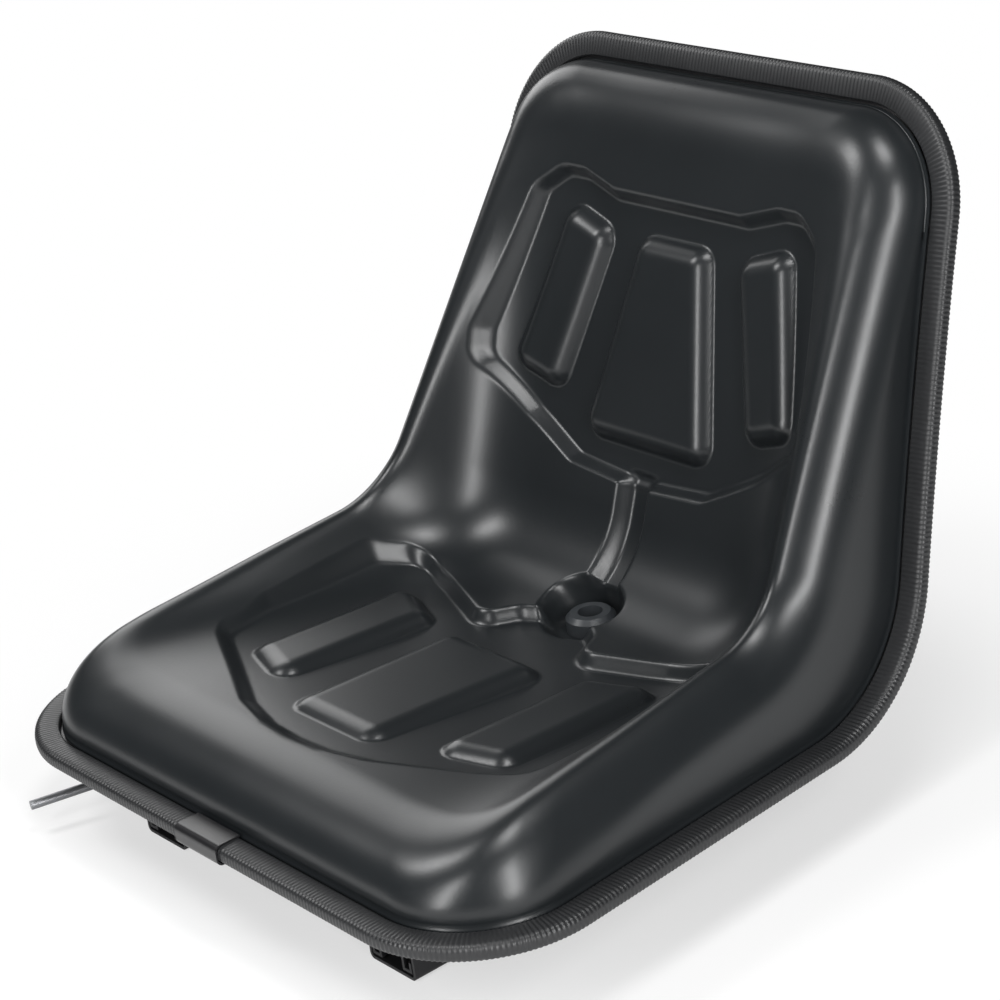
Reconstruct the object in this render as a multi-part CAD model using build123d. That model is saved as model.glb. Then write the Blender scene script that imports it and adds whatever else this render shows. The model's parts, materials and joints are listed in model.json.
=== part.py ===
from build123d import *
from math import cos, hypot, radians, sin, tan
import os

# Garden tractor seat: a moulded bucket cushion on a pressed steel pan, a push-on edge trim round the pan's
# flange, and two slide rails underneath with a sprung release lever on the sitter's right.
# Frame: +X to the sitter's left, +Y to the rear, +Z up. The origin is on the floor, midway between the bolts.
# The rim is a sheet bent about X. Points on it are given as s, the way along it from the front edge, and h,
# the height above it on the sitter's side. Places on the back are given as the way down from the top edge.

# Rim of the pan
RIM_FRONT_Y = -180.0
RIM_Z = 60.0
RIM_WIDTH = 475.0
RIM_TOP_WIDTH = 393.0
FRONT_CORNER = 80.0
TOP_CORNER = 76.0
SEAT_RUN = 289.0
BEND_RADIUS = 97.0
BACK_ANGLE = 74.0
BACK_RUN = 281.0
BACK_BOW = 5.0

# Pan
SHEET = 1.5
DISH_DEPTH = 23.0
DISH_INSET = 26.0
DISH_ROUND = 12.0
DRAIN_HOLE = 24.0

# Cushion
FOAM_GAP = 0.3
SKIRT_INSET = 18.0
CREST_ROUND = 26.0
CREST_FRONT_H = 36.0
CREST_BEND_H = 70.0
CREST_BEND_BACKSET = 8.0
CREST_TOP_H = 28.0
CREST_TOP_DOWN = 72.0
CREST_BEND_RADIUS = 60.0
CREST_TOP_RADIUS = 150.0
FLOOR_FRONT_H = 47.0
FLOOR_BEND_AHEAD = 36.0
FLOOR_BEND_H = 20.0
FLOOR_BEND_RADIUS = 70.0
FLOOR_TOP_H = 31.0
FLOOR_TOP_DOWN = 45.0
FLOOR_RUN_OUT = 22.0
FLOOR_HALF = 100.0
CREST_INSET = 36.0
RECESS_DEPTH = 9.0

# Outlines pressed into the cushion's back, as (x, way down from the top edge), right half
BACK_RECESS = [(0, 95), (48, 94), (88, 88), (122, 110), (150, 190), (151, 229), (67, 269), (15, 271),
               (0, 271)]
BACK_CENTRE_PAD = [(0, 120), (29, 120), (59, 250), (0, 250)]
BACK_SIDE_PAD = [(57, 120), (104, 112), (130, 214), (84, 229)]

# Outlines pressed into the cushion's seat, as (x, s), right half
SEAT_RECESS = [(0, 72), (47, 76), (110, 92), (144, 118), (160, 150), (160, 244), (138, 281), (50, 243),
               (25, 271), (0, 275)]
SEAT_CENTRE_PAD = [(0, 97), (36, 98), (46, 224), (0, 224)]
SEAT_SIDE_PAD = [(80, 111), (133, 128), (126, 258), (76, 232)]
CHANNEL_WIDTH = 30.0
CHANNEL_DEPTH = 8.0

# Drain bush
BUSH_S = 300.0
BUSH_COLLAR = 32.0
BUSH_COLLAR_TALL = 12.0
BUSH_WELL = 44.0
BUSH_BORE = 16.0
BUSH_WALL = 3.0
BUSH_BELOW_PAN = 4.0
BUSH_GAP = 0.3

# Edge trim
TRIM_WIDTH = 16.0
TRIM_LIP = 4.0
TRIM_WEB = 3.0
TRIM_ROUND = 3.0
TRIM_GAP = 0.3
SLEEVE_LENGTH = 42.0
SLEEVE_WALL = 1.2
SLEEVE_GAP = 0.3

# Slide rails
RAIL_SPACING = 230.0
RAIL_LENGTH = 280.0
RAIL_SHEET = 2.0
LOWER_WIDTH = 42.0
LOWER_HEIGHT = 18.0
LOWER_MOUTH = 26.0
UPPER_WIDTH = 23.0
UPPER_TOP_Z = 32.0
FLANGE_RIDE = 4.0
FLANGE_SPAN = 36.0
FLANGE_CURL = 7.0
RAIL_BEND = 1.5
TRAVEL = 75.0
FLOOR_BOLT_SPACING = 230.0
FLOOR_HOLE = 9.0
GLIDE_LENGTH = 26.0
GLIDE_GAP = 0.3
GLIDE_INBOARD = 8.0
STOP_STUD = 8.0
STOP_STUD_TOP = 15.0
STOP_TAB_LOW = 10.0
STOP_GAP = 0.5

# Bolts that hold the upper rails to the pan, M8
SEAT_BOLT_Y = 75.0
BOLT = 8.0
BOLT_HOLE = 9.0
HEX_FLATS = 13.0
HEAD_TALL = 5.3
NUT_TALL = 6.5
NUT_GAP = 0.5
WASHER_OD = 16.0
WASHER_TALL = 1.6
SPACER_OD = 24.0
BOLT_PAST_NUT = 2.0

# Release lever, latch and return spring
ROD = 6.0
PIVOT_Y = 10.0
PIVOT_Z = 25.0
PIVOT_GAP = 0.2
PIVOT_END = 24.0
LEVER_OUT = 37.0
LEVER_KNEE = (-168.0, -100.0, 21.6)
LEVER_TIP = (-194.4, -187.3, 19.0)
LEVER_BENDS = [12.0, 40.0]
LATCH_THICK = 3.6
LATCH_REACH = 45.0
LATCH_EYE = 7.0
LATCH_ARM = 5.0
LATCH_CLEAR = 0.4
TOOTH = 6.0
NOTCH = 8.0
NOTCH_PITCH = 15.0
NOTCH_SIDE_GAP = 0.7
CLIP_OD = 12.0
CLIP_THICK = 1.2
SPRING_WIRE = 1.2
SPRING_TURNS = 3
SPRING_LEG = 14.0
SPRING_GAP = 0.3
SPRING_SIDE_GAP = 1.2

# Worked out from the sizes above
OVERRUN = 60.0
REACH = 700.0
HALF_SPAN = RIM_WIDTH
BEND_Y = RIM_FRONT_Y + SEAT_RUN
BEND_LENGTH = BEND_RADIUS * radians(BACK_ANGLE)
BOW_RADIUS = BACK_RUN / radians(BACK_BOW)
TOP_ANGLE = radians(BACK_ANGLE - BACK_BOW)
CHORD_ANGLE = radians(BACK_ANGLE - BACK_BOW / 2)
RIM_LENGTH = SEAT_RUN + BEND_LENGTH + BACK_RUN
TAPER = (RIM_WIDTH - RIM_TOP_WIDTH) / 2 / (RIM_LENGTH - FRONT_CORNER - TOP_CORNER)
LEAN = TAPER * (1 - cos(CHORD_ANGLE)) / sin(CHORD_ANGLE)
PAN_FLOOR_Z = RIM_Z - DISH_DEPTH - SHEET
LEFT_X = -RAIL_SPACING / 2
RIGHT_X = RAIL_SPACING / 2


def sheet_point(s, h):
    """Side-view (y, z) of the point s along the rim and h above it."""
    if s <= SEAT_RUN:
        return (RIM_FRONT_Y + s, RIM_Z + h)
    if s <= SEAT_RUN + BEND_LENGTH:
        turn = (s - SEAT_RUN) / BEND_RADIUS
        arm = BEND_RADIUS - h
        return (BEND_Y + arm * sin(turn), RIM_Z + BEND_RADIUS - arm * cos(turn))
    start = radians(BACK_ANGLE)
    turn = start - (s - SEAT_RUN - BEND_LENGTH) / BOW_RADIUS
    y = BEND_Y + (BEND_RADIUS + BOW_RADIUS) * sin(start) - (BOW_RADIUS + h) * sin(turn)
    z = RIM_Z + BEND_RADIUS - (BEND_RADIUS + BOW_RADIUS) * cos(start) + (BOW_RADIUS + h) * cos(turn)
    return (y, z)


def sheet_curve(h):
    """Side-view line of the sheet at height h, run past both ends."""
    seat = Line(sheet_point(-OVERRUN, h), sheet_point(SEAT_RUN, h))
    bend = JernArc(seat @ 1, (1, 0), BEND_RADIUS - h, BACK_ANGLE)
    back = JernArc(bend @ 1, bend % 1, BOW_RADIUS + h, -BACK_BOW * (1 + OVERRUN / BACK_RUN))
    return seat + bend + back


def between(lower, upper):
    """Solid across the full width between two side-view lines."""
    face = make_face(lower + upper + Line(lower @ 0, upper @ 0) + Line(lower @ 1, upper @ 1))
    return extrude(Plane.YZ * face, HALF_SPAN, both=True)


def slab(low, high):
    """The sheet thickened from height low to height high."""
    return between(Wire(sheet_curve(low).edges()), Wire(sheet_curve(high).edges()))


def outline_block(inset):
    """Block whose walls follow the rim's outline, moved in by inset, with its round front and top corners."""
    slope = hypot(TAPER, LEAN)
    half = RIM_WIDTH / 2 + TAPER * FRONT_CORNER - inset
    across = Plane(origin=(0, RIM_FRONT_Y, RIM_Z), x_dir=(1, 0, 0), z_dir=(0, -LEAN, TAPER))
    wide = half + slope * REACH
    narrow = half - slope * REACH
    taper = Polygon((wide, -REACH), (narrow, REACH), (-narrow, REACH), (-wide, -REACH), align=None)
    front = RIM_FRONT_Y + inset
    top = sheet_point(RIM_LENGTH - inset, 0)
    rise = cos(TOP_ANGLE) / sin(TOP_ANGLE)
    high_front = (front, top[1] + (top[0] - front) * rise)
    high_rear = (REACH, top[1] + (top[0] - REACH) * rise)
    side = Polygon((front, -REACH), (REACH, -REACH), high_rear, high_front, align=None)
    block = extrude(across * taper, 2 * REACH, both=True) & extrude(Plane.YZ * side, REACH, both=True)
    fronts = [e for e in block.edges() if abs(e.center().Y - front) < 1 and abs(e.center().X) > half / 4]
    block = fillet(fronts, FRONT_CORNER - inset)
    tops = [e for e in block.edges() if abs(e.center().X) > half / 4 and off_top(e.center(), top) < 1]
    return fillet(tops, TOP_CORNER - inset)


def off_top(point, top):
    """How far a point lies from the plane square to the back through the side-view point top."""
    return abs((point.Y - top[0]) * cos(TOP_ANGLE) + (point.Z - top[1]) * sin(TOP_ANGLE))


def tray(inset, low, high, radius):
    """Slab inside an outline, with its lower edge rounded."""
    return rounded_rim(slab(low, high) & outline_block(inset), [sheet_curve(low)], inset, radius)


def rounded_rim(block, lines, inset, radius):
    """Block with its outer edges on the given side-view lines rounded, one half at a time."""
    half = block & Pos(REACH, 0, 0) * Box(2 * REACH, 2 * REACH, 2 * REACH)
    outer = [e for e in half.edges() if e.center().X > 1 and not crosses(e, inset)]
    half = fillet([e for line in lines for e in outer if on_line(line, e)], radius)
    return half + mirror(half, about=Plane.YZ)


def on_line(line, edge):
    """Whether the middle of an edge lies on a side-view line."""
    middle = edge @ 0.5
    return line.distance_to(Vector(middle.Y, middle.Z, 0)) < 0.05


def crosses(edge, inset):
    """Whether an edge runs straight across the seat, away from its front and top walls."""
    middle = edge @ 0.5
    straight = abs((edge % 0.5).X) > 0.999
    at_front = abs(middle.Y - RIM_FRONT_Y - inset) < 1
    at_top = off_top(middle, sheet_point(RIM_LENGTH - inset, 0)) < 1
    return straight and not at_front and not at_top


def crest_points():
    """Side-view corners of the line along the tops of the bolsters."""
    fall = (CREST_BEND_H - CREST_FRONT_H) / (SEAT_RUN - CREST_BEND_BACKSET)
    lead = sheet_point(-OVERRUN, CREST_FRONT_H - OVERRUN * fall)
    bend = (BEND_Y - CREST_BEND_BACKSET, RIM_Z + CREST_BEND_H)
    knee = sheet_point(RIM_LENGTH - CREST_TOP_DOWN, CREST_TOP_H)
    return [lead, bend, knee, sheet_point(RIM_LENGTH + OVERRUN, CREST_TOP_H)]


def floor_points():
    """Side-view corners of the line down the middle of the cushion."""
    fall = (FLOOR_FRONT_H - FLOOR_BEND_H) / (SEAT_RUN + FLOOR_BEND_AHEAD)
    lead = sheet_point(-OVERRUN, FLOOR_FRONT_H + OVERRUN * fall)
    bend = (BEND_Y + FLOOR_BEND_AHEAD, RIM_Z + FLOOR_BEND_H)
    knee = sheet_point(RIM_LENGTH - FLOOR_TOP_DOWN, FLOOR_TOP_H)
    return [lead, bend, knee, sheet_point(RIM_LENGTH + OVERRUN, FLOOR_TOP_H + FLOOR_RUN_OUT)]


def sunk_by(sink):
    """How each side-view corner moves when the surface sinks square to itself."""
    rear = (sink * sin(TOP_ANGLE), -sink * cos(TOP_ANGLE))
    return [(0, -sink), (sink * tan(CHORD_ANGLE / 2), -sink), rear, rear]


def rounded_line(points, first, second):
    """Side-view line through four corners, with its two inner corners rounded."""
    return FilletPolyline(*points, radius=[first, second])


def dish(sink):
    """Everything the bucket leaves open, its floor sunk by sink below the cushion's middle line."""
    stations = [(0.0, 0.0), (0.45, 0.16), (0.68, 0.5), (0.86, 0.82), (1.0, 1.02)]
    reach = RIM_WIDTH / 2 - CREST_INSET - FLOOR_HALF
    sections = [dish_section(Plane.YZ, 0.0, sink)]
    for out, share in stations:
        side = Plane(origin=(FLOOR_HALF + out * reach, RIM_FRONT_Y + FRONT_CORNER, RIM_Z),
                     x_dir=(-TAPER, 1, 0), z_dir=(1, TAPER, LEAN))
        sections.append(dish_section(side, share, sink))
    half = loft(sections, ruled=True)
    return half + mirror(half, about=Plane.YZ)


def dish_section(plane, share, sink):
    """Side-view region above a line that lies the given share of the way from the floor up to the crest."""
    line_points = []
    for low, high, move in zip(floor_points(), crest_points(), sunk_by(sink)):
        y = low[0] + (high[0] - low[0]) * share + move[0]
        z = low[1] + (high[1] - low[1]) * share + move[1]
        line_points.append((y, z))
    first = FLOOR_BEND_RADIUS + (CREST_BEND_RADIUS - FLOOR_BEND_RADIUS) * share
    line = rounded_line(line_points, first, CREST_TOP_RADIUS)
    far = (line_points[0][0], line_points[-1][1] + OVERRUN)
    face = make_face(line + Line(line @ 1, far) + Line(far, line @ 0))
    shift = plane.origin if plane.origin.length else Vector(0, 0, 0)
    return plane * Pos(-shift.Y, -shift.Z) * face


def both_sides(points):
    """Closed outline from its right half."""
    mirrored = [(-x, v) for x, v in reversed(points) if x > 0]
    return [*points, *mirrored]


def seat_prism(points):
    """Upright block over an outline given as (x, s)."""
    outline = Polygon(*points, align=None)
    return extrude(Pos(0, RIM_FRONT_Y, RIM_Z) * outline, REACH / 2, both=True)


def back_prism(points):
    """Block square to the back over an outline given as (x, way down from the top edge)."""
    top = sheet_point(RIM_LENGTH, 0)
    face_on = Plane(origin=(0, *top), x_dir=(1, 0, 0), z_dir=(0, -sin(CHORD_ANGLE), cos(CHORD_ANGLE)))
    outline = Polygon(*[(x, -down) for x, down in points], align=None)
    return extrude(face_on * outline, REACH / 8, both=True)


def flipped(points):
    """The same outline on the other side."""
    return [(-x, v) for x, v in reversed(points)]


def pressed_regions():
    """Blocks over the sunk parts of the cushion, with its raised pads left out."""
    seat = seat_prism(both_sides(SEAT_RECESS)) - seat_prism(both_sides(SEAT_CENTRE_PAD))
    seat = seat - seat_prism(SEAT_SIDE_PAD) - seat_prism(flipped(SEAT_SIDE_PAD))
    back = back_prism(both_sides(BACK_RECESS)) - back_prism(both_sides(BACK_CENTRE_PAD))
    back = back - back_prism(BACK_SIDE_PAD) - back_prism(flipped(BACK_SIDE_PAD))
    return seat, back


def bush_place():
    """Side-view place of the drain bush on the pan's floor, and the height of its collar's underside."""
    y, z = sheet_point(BUSH_S, -DISH_DEPTH)
    seat_z = RIM_Z + FLOOR_BEND_H - CHANNEL_DEPTH
    return y, z, seat_z


def seat_cushion():
    """One moulding: a filling that lies in the pan, and the bucket above it."""
    filling = tray(DISH_INSET + SHEET + FOAM_GAP, -DISH_DEPTH + FOAM_GAP, FOAM_GAP, DISH_ROUND)
    crest = rounded_line(crest_points(), CREST_BEND_RADIUS, CREST_TOP_RADIUS)
    raised = between(Wire(sheet_curve(FOAM_GAP).edges()), crest) & outline_block(SKIRT_INSET)
    raised = rounded_rim(raised, [crest], SKIRT_INSET, CREST_ROUND)
    cushion = filling + raised - dish(0)
    seat, back = pressed_regions()
    sunk = dish(RECESS_DEPTH)
    cushion = cushion - (sunk & seat) - (sunk & back)
    y, z, seat_z = bush_place()
    foot = sheet_point(RIM_LENGTH - BACK_RECESS[-1][1], 0)
    channel = Box(CHANNEL_WIDTH, foot[0] - y, 2 * BEND_RADIUS)
    channel = Pos(0, (y + foot[0]) / 2, RIM_Z + BEND_RADIUS / 2) * channel
    cushion = cushion - (dish(CHANNEL_DEPTH) & channel)
    up = (Align.CENTER, Align.CENTER, Align.MIN)
    stem = BUSH_BORE / 2 + BUSH_WALL + BUSH_GAP
    cushion = cushion - Pos(0, y, z) * Cylinder(stem, 2 * REACH / 8)
    cushion = cushion - Pos(0, y, seat_z) * Cylinder(BUSH_WELL / 2, REACH / 8, align=up)
    pocket = HEX_FLATS / 2 + NUT_GAP + SHEET
    tall = NUT_TALL + BOLT_PAST_NUT + NUT_GAP
    for x, y in seat_bolt_places():
        floor = Pos(x, y, PAN_FLOOR_Z + SHEET)
        cushion = cushion - floor * Cylinder(pocket, tall, align=up)
    return cushion


def seat_pan():
    """Pressed sheet: a flat flange round a shallow tray, with holes for the rail bolts and the drain."""
    flange = slab(-SHEET, 0) & outline_block(0)
    outside = tray(DISH_INSET, -DISH_DEPTH - SHEET, 0, DISH_ROUND + SHEET)
    inside = tray(DISH_INSET + SHEET, -DISH_DEPTH, SHEET, DISH_ROUND)
    pan = flange + outside - inside
    for x, y in seat_bolt_places():
        pan = pan - Pos(x, y, PAN_FLOOR_Z) * Cylinder(BOLT_HOLE / 2, 4 * SHEET)
    y, z, _ = bush_place()
    return pan - Pos(0, y, z) * Cylinder(DRAIN_HOLE / 2, DISH_DEPTH)


def edge_trim():
    """U-shaped strip pushed over the flange all the way round."""
    low = -SHEET - TRIM_GAP - TRIM_LIP
    high = TRIM_GAP + TRIM_LIP
    out = -TRIM_GAP - TRIM_WEB
    outer = slab(low, high) & outline_block(out)
    outer = rounded_rim(outer, [sheet_curve(low), sheet_curve(high)], out, TRIM_ROUND)
    slot = slab(-SHEET - TRIM_GAP, TRIM_GAP) & outline_block(-TRIM_GAP)
    return outer - (slab(low - TRIM_LIP, high + TRIM_LIP) & outline_block(TRIM_WIDTH - TRIM_WEB)) - slot


def trim_joint_sleeve():
    """Smooth clip that covers the trim's butt joint at the middle of the front edge."""
    low = RIM_Z - SHEET - TRIM_GAP - TRIM_LIP - SLEEVE_GAP
    high = RIM_Z + TRIM_GAP + TRIM_LIP + SLEEVE_GAP
    front = RIM_FRONT_Y - TRIM_GAP - TRIM_WEB - SLEEVE_GAP
    back = RIM_FRONT_Y + TRIM_WIDTH - TRIM_WEB
    outer = Polygon((back, low - SLEEVE_WALL), (front - SLEEVE_WALL, low - SLEEVE_WALL),
                    (front - SLEEVE_WALL, high + SLEEVE_WALL), (back, high + SLEEVE_WALL), align=None)
    outer = fillet(outer.vertices().sort_by(Axis.X)[:2], TRIM_ROUND + SLEEVE_WALL)
    inner = Polygon((back, low), (front, low), (front, high), (back, high), align=None)
    inner = fillet(inner.vertices().sort_by(Axis.X)[:2], TRIM_ROUND)
    return extrude(Plane.YZ * (outer - inner), SLEEVE_LENGTH / 2, both=True)


def drain_bush():
    """Round collar with a stem that leads water out through the pan."""
    y, z, seat_z = bush_place()
    low = z - SHEET - BUSH_BELOW_PAN
    stem = BUSH_BORE / 2 + BUSH_WALL
    up = (Align.CENTER, Align.CENTER, Align.MIN)
    body = Pos(0, y, seat_z) * Cylinder(BUSH_COLLAR / 2, BUSH_COLLAR_TALL, align=up)
    body = chamfer(body.edges().filter_by(GeomType.CIRCLE).sort_by(Axis.Z)[-1], BUSH_WALL)
    body = body + Pos(0, y, low) * Cylinder(stem, seat_z - low, align=up)
    return body - Pos(0, y, low) * Cylinder(BUSH_BORE / 2, REACH / 4, align=up)


def lower_section():
    """Section of a lower rail: a channel with its edges turned in."""
    half = LOWER_WIDTH / 2
    outer = Pos(0, LOWER_HEIGHT / 2) * RectangleRounded(LOWER_WIDTH, LOWER_HEIGHT, RAIL_BEND + RAIL_SHEET)
    inner_wide = LOWER_WIDTH - 2 * RAIL_SHEET
    inner = Pos(0, LOWER_HEIGHT / 2) * RectangleRounded(inner_wide, LOWER_HEIGHT - 2 * RAIL_SHEET, RAIL_BEND)
    return outer - inner - Pos(0, LOWER_HEIGHT) * Rectangle(LOWER_MOUTH, half)


def upper_section():
    """Section of an upper rail: a hat whose brims run under the lower rail's edges and curl up."""
    low = FLANGE_RIDE
    half = UPPER_WIDTH / 2
    tall = UPPER_TOP_Z - low
    hat = Pos(0, low + tall / 2) * Rectangle(UPPER_WIDTH, tall)
    brim = Pos(0, low + RAIL_SHEET / 2) * Rectangle(FLANGE_SPAN, RAIL_SHEET)
    hollow = Pos(0, low + (tall - RAIL_SHEET) / 2) * Rectangle(UPPER_WIDTH - 2 * RAIL_SHEET, tall - RAIL_SHEET)
    curl_x = FLANGE_SPAN / 2 - RAIL_SHEET / 2
    curls = [Pos(side * curl_x, low + FLANGE_CURL / 2) * Rectangle(RAIL_SHEET, FLANGE_CURL) for side in (-1, 1)]
    section = hat + brim + curls - hollow
    crown = [v for v in section.vertices() if v.Y > UPPER_TOP_Z - RAIL_SHEET / 2 and abs(v.X) > half / 2]
    return fillet(crown, RAIL_BEND + RAIL_SHEET / 2)


def along_rail(section, x, length=RAIL_LENGTH):
    """Section drawn in X and Z, run along Y about the middle of the rails."""
    return extrude(Plane.XZ * Pos(x, 0) * section, length / 2, both=True)


def floor_bolt_places(x):
    """Places of one rail's two floor bolts."""
    return [(x, side * FLOOR_BOLT_SPACING / 2) for side in (-1, 1)]


def seat_bolt_places():
    """Places of the four bolts that hold the upper rails to the pan."""
    return [(x, y) for x in (LEFT_X, RIGHT_X) for y in (-SEAT_BOLT_Y, SEAT_BOLT_Y)]


def lower_rail(x):
    """Fixed rail with its two floor bolt holes."""
    rail = along_rail(lower_section(), x)
    for place in floor_bolt_places(x):
        rail = rail - Pos(*place, 0) * Cylinder(FLOOR_HOLE / 2, 4 * RAIL_SHEET)
    return rail


def notches():
    """Row of gaps along the left rail's outer edge, one at each place where the latch can drop."""
    inner = LEFT_X - LOWER_MOUTH / 2
    wide = latch_offset() + LATCH_THICK / 2 + NOTCH_SIDE_GAP - LOWER_MOUTH / 2
    middle = inner - wide / 2 + NOTCH_SIDE_GAP / 2
    steps = int(TRAVEL / NOTCH_PITCH)
    cuts = []
    for step in range(-steps, steps + 1):
        y = PIVOT_Y - LATCH_REACH + step * NOTCH_PITCH
        cuts.append(Pos(middle, y, LOWER_HEIGHT) * Box(wide + NOTCH_SIDE_GAP, NOTCH, 3 * RAIL_SHEET))
    return cuts


def upper_rail(x):
    """Sliding rail with its bolt holes and the two tabs that stop its travel."""
    rail = along_rail(upper_section(), x)
    for side in (-1, 1):
        y = side * (TRAVEL + STOP_STUD / 2 + STOP_GAP + RAIL_SHEET / 2)
        tall = STOP_STUD_TOP + RAIL_SHEET - STOP_TAB_LOW
        tab = Box(UPPER_WIDTH - RAIL_SHEET, RAIL_SHEET, tall)
        rail = rail + Pos(x, y, STOP_TAB_LOW + tall / 2) * tab
        rail = rail - Pos(x, side * SEAT_BOLT_Y, UPPER_TOP_Z) * Cylinder(BOLT_HOLE / 2, 4 * RAIL_SHEET)
    return rail


def rail_glides(x):
    """Slippery shoes on the ends of the brims, a pair at each end of an upper rail."""
    inner = UPPER_WIDTH / 2 + GLIDE_GAP
    outer = LOWER_WIDTH / 2 - RAIL_SHEET - GLIDE_GAP
    low = RAIL_SHEET + GLIDE_GAP
    tall = LOWER_HEIGHT - 2 * RAIL_SHEET - 2 * GLIDE_GAP
    shoes = []
    for side in (-1, 1):
        block = Pos(side * (inner + outer) / 2, low + tall / 2) * Rectangle(outer - inner, tall)
        block = fillet(block.vertices(), RAIL_BEND)
        shoe = along_rail(block - upper_section(), x, GLIDE_LENGTH)
        for end in (-1, 1):
            shoes.append(Pos(0, end * (RAIL_LENGTH / 2 - GLIDE_LENGTH / 2 - GLIDE_INBOARD), 0) * shoe)
    return shoes


def stop_studs():
    """Studs on the lower rails' floors that the upper rails' tabs meet at each end of the travel."""
    up = (Align.CENTER, Align.CENTER, Align.MIN)
    tall = STOP_STUD_TOP - RAIL_SHEET
    return [Pos(x, 0, RAIL_SHEET) * Cylinder(STOP_STUD / 2, tall, align=up) for x in (LEFT_X, RIGHT_X)]


def seat_bolts():
    """Hexagon bolts through the upper rails, the spacers and the pan."""
    head_z = UPPER_TOP_Z - RAIL_SHEET - WASHER_TALL - HEAD_TALL
    shank = PAN_FLOOR_Z + SHEET + NUT_TALL + BOLT_PAST_NUT - head_z - HEAD_TALL
    bolts = []
    for x, y in seat_bolt_places():
        head = extrude(Pos(x, y, head_z) * RegularPolygon(HEX_FLATS / 2, 6, major_radius=False), HEAD_TALL)
        stem = Pos(x, y, head_z + HEAD_TALL + shank / 2) * Cylinder(BOLT / 2, shank)
        bolts.append(head + stem)
    return bolts


def rings(outer, inner, low, tall):
    """A ring at each seat bolt."""
    made = []
    for x, y in seat_bolt_places():
        made.append(extrude(Pos(x, y, low) * (Circle(outer / 2) - Circle(inner / 2)), tall))
    return made


def pan_weld_nuts():
    """Nuts welded inside the pan for the rail bolts."""
    nuts = []
    for x, y in seat_bolt_places():
        hexagon = RegularPolygon(HEX_FLATS / 2, 6, major_radius=False) - Circle(BOLT / 2 + PIVOT_GAP)
        nuts.append(extrude(Pos(x, y, PAN_FLOOR_Z + SHEET) * hexagon, NUT_TALL))
    return nuts


def latch_offset():
    """How far outside the left rail's middle the latch plate lies."""
    return LOWER_MOUTH / 2 + NOTCH_SIDE_GAP + LATCH_THICK / 2


def release_lever():
    """Bent rod: a cross run that turns in the upper rail, then an arm that leads forward and out to the hand."""
    inner = (LEFT_X + PIVOT_END, PIVOT_Y, PIVOT_Z)
    corner = (LEFT_X - LEVER_OUT, PIVOT_Y, PIVOT_Z)
    path = FilletPolyline(inner, corner, LEVER_KNEE, LEVER_TIP, radius=LEVER_BENDS)
    start = Plane(origin=path @ 0, z_dir=path % 0)
    return sweep(start * Circle(ROD / 2), path=path)


def latch_plate():
    """Flat pawl on the rod, with an eye, an arm and a tooth that drops into the notches."""
    tooth_low = LOWER_HEIGHT + LATCH_CLEAR
    eye = Pos(PIVOT_Y, PIVOT_Z) * Circle(LATCH_EYE)
    tip = PIVOT_Y - LATCH_REACH - TOOTH / 2
    arm = Polygon((PIVOT_Y, PIVOT_Z + LATCH_ARM), (tip, PIVOT_Z + LATCH_ARM / 2), (tip, tooth_low),
                  (tip + TOOTH, tooth_low), (tip + TOOTH, PIVOT_Z - LATCH_ARM / 2),
                  (PIVOT_Y, PIVOT_Z - LATCH_ARM), align=None)
    face = eye + arm - Pos(PIVOT_Y, PIVOT_Z) * Circle(ROD / 2)
    plate = extrude(Plane.YZ * face, LATCH_THICK / 2, both=True)
    return Pos(LEFT_X - latch_offset(), 0, 0) * plate


def pivot_clip():
    """Push-on ring that keeps the rod's inner end in the rail."""
    ring = Circle(CLIP_OD / 2) - Circle(ROD / 2)
    place = Plane(origin=(LEFT_X + PIVOT_END - 2 * CLIP_THICK, PIVOT_Y, PIVOT_Z), z_dir=(1, 0, 0))
    return extrude(place * ring, CLIP_THICK)


def return_spring():
    """Wound wire round the rod's inner end, with one leg back along the rail and one forward beside the clip."""
    pitch = SPRING_WIRE + SPRING_GAP
    radius = ROD / 2 + SPRING_GAP + SPRING_WIRE / 2
    start_x = LEFT_X + UPPER_WIDTH / 2 + SPRING_SIDE_GAP + SPRING_WIRE / 2
    axis_plane = Plane(origin=(start_x, PIVOT_Y, PIVOT_Z), x_dir=(0, 0, 1), z_dir=(1, 0, 0))
    coil = axis_plane * Helix(pitch, pitch * SPRING_TURNS, radius)
    section = Circle(SPRING_WIRE / 2)
    wire = sweep(Plane(origin=coil @ 0, z_dir=coil % 0) * section, path=coil, is_frenet=True)
    first = extrude(Plane(origin=coil @ 0, z_dir=-(coil % 0)) * section, SPRING_LEG)
    last = extrude(Plane(origin=coil @ 1, z_dir=coil % 1) * section, SPRING_LEG)
    return wire + first + last


def pivot_hole():
    """Bore through the left upper rail for the lever's cross run."""
    bore = Cylinder(ROD / 2 + PIVOT_GAP, 2 * UPPER_WIDTH, rotation=(0, 90, 0))
    return Pos(LEFT_X, PIVOT_Y, PIVOT_Z) * bore


left_lower = lower_rail(LEFT_X)
for notch in notches():
    left_lower = left_lower - notch

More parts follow.
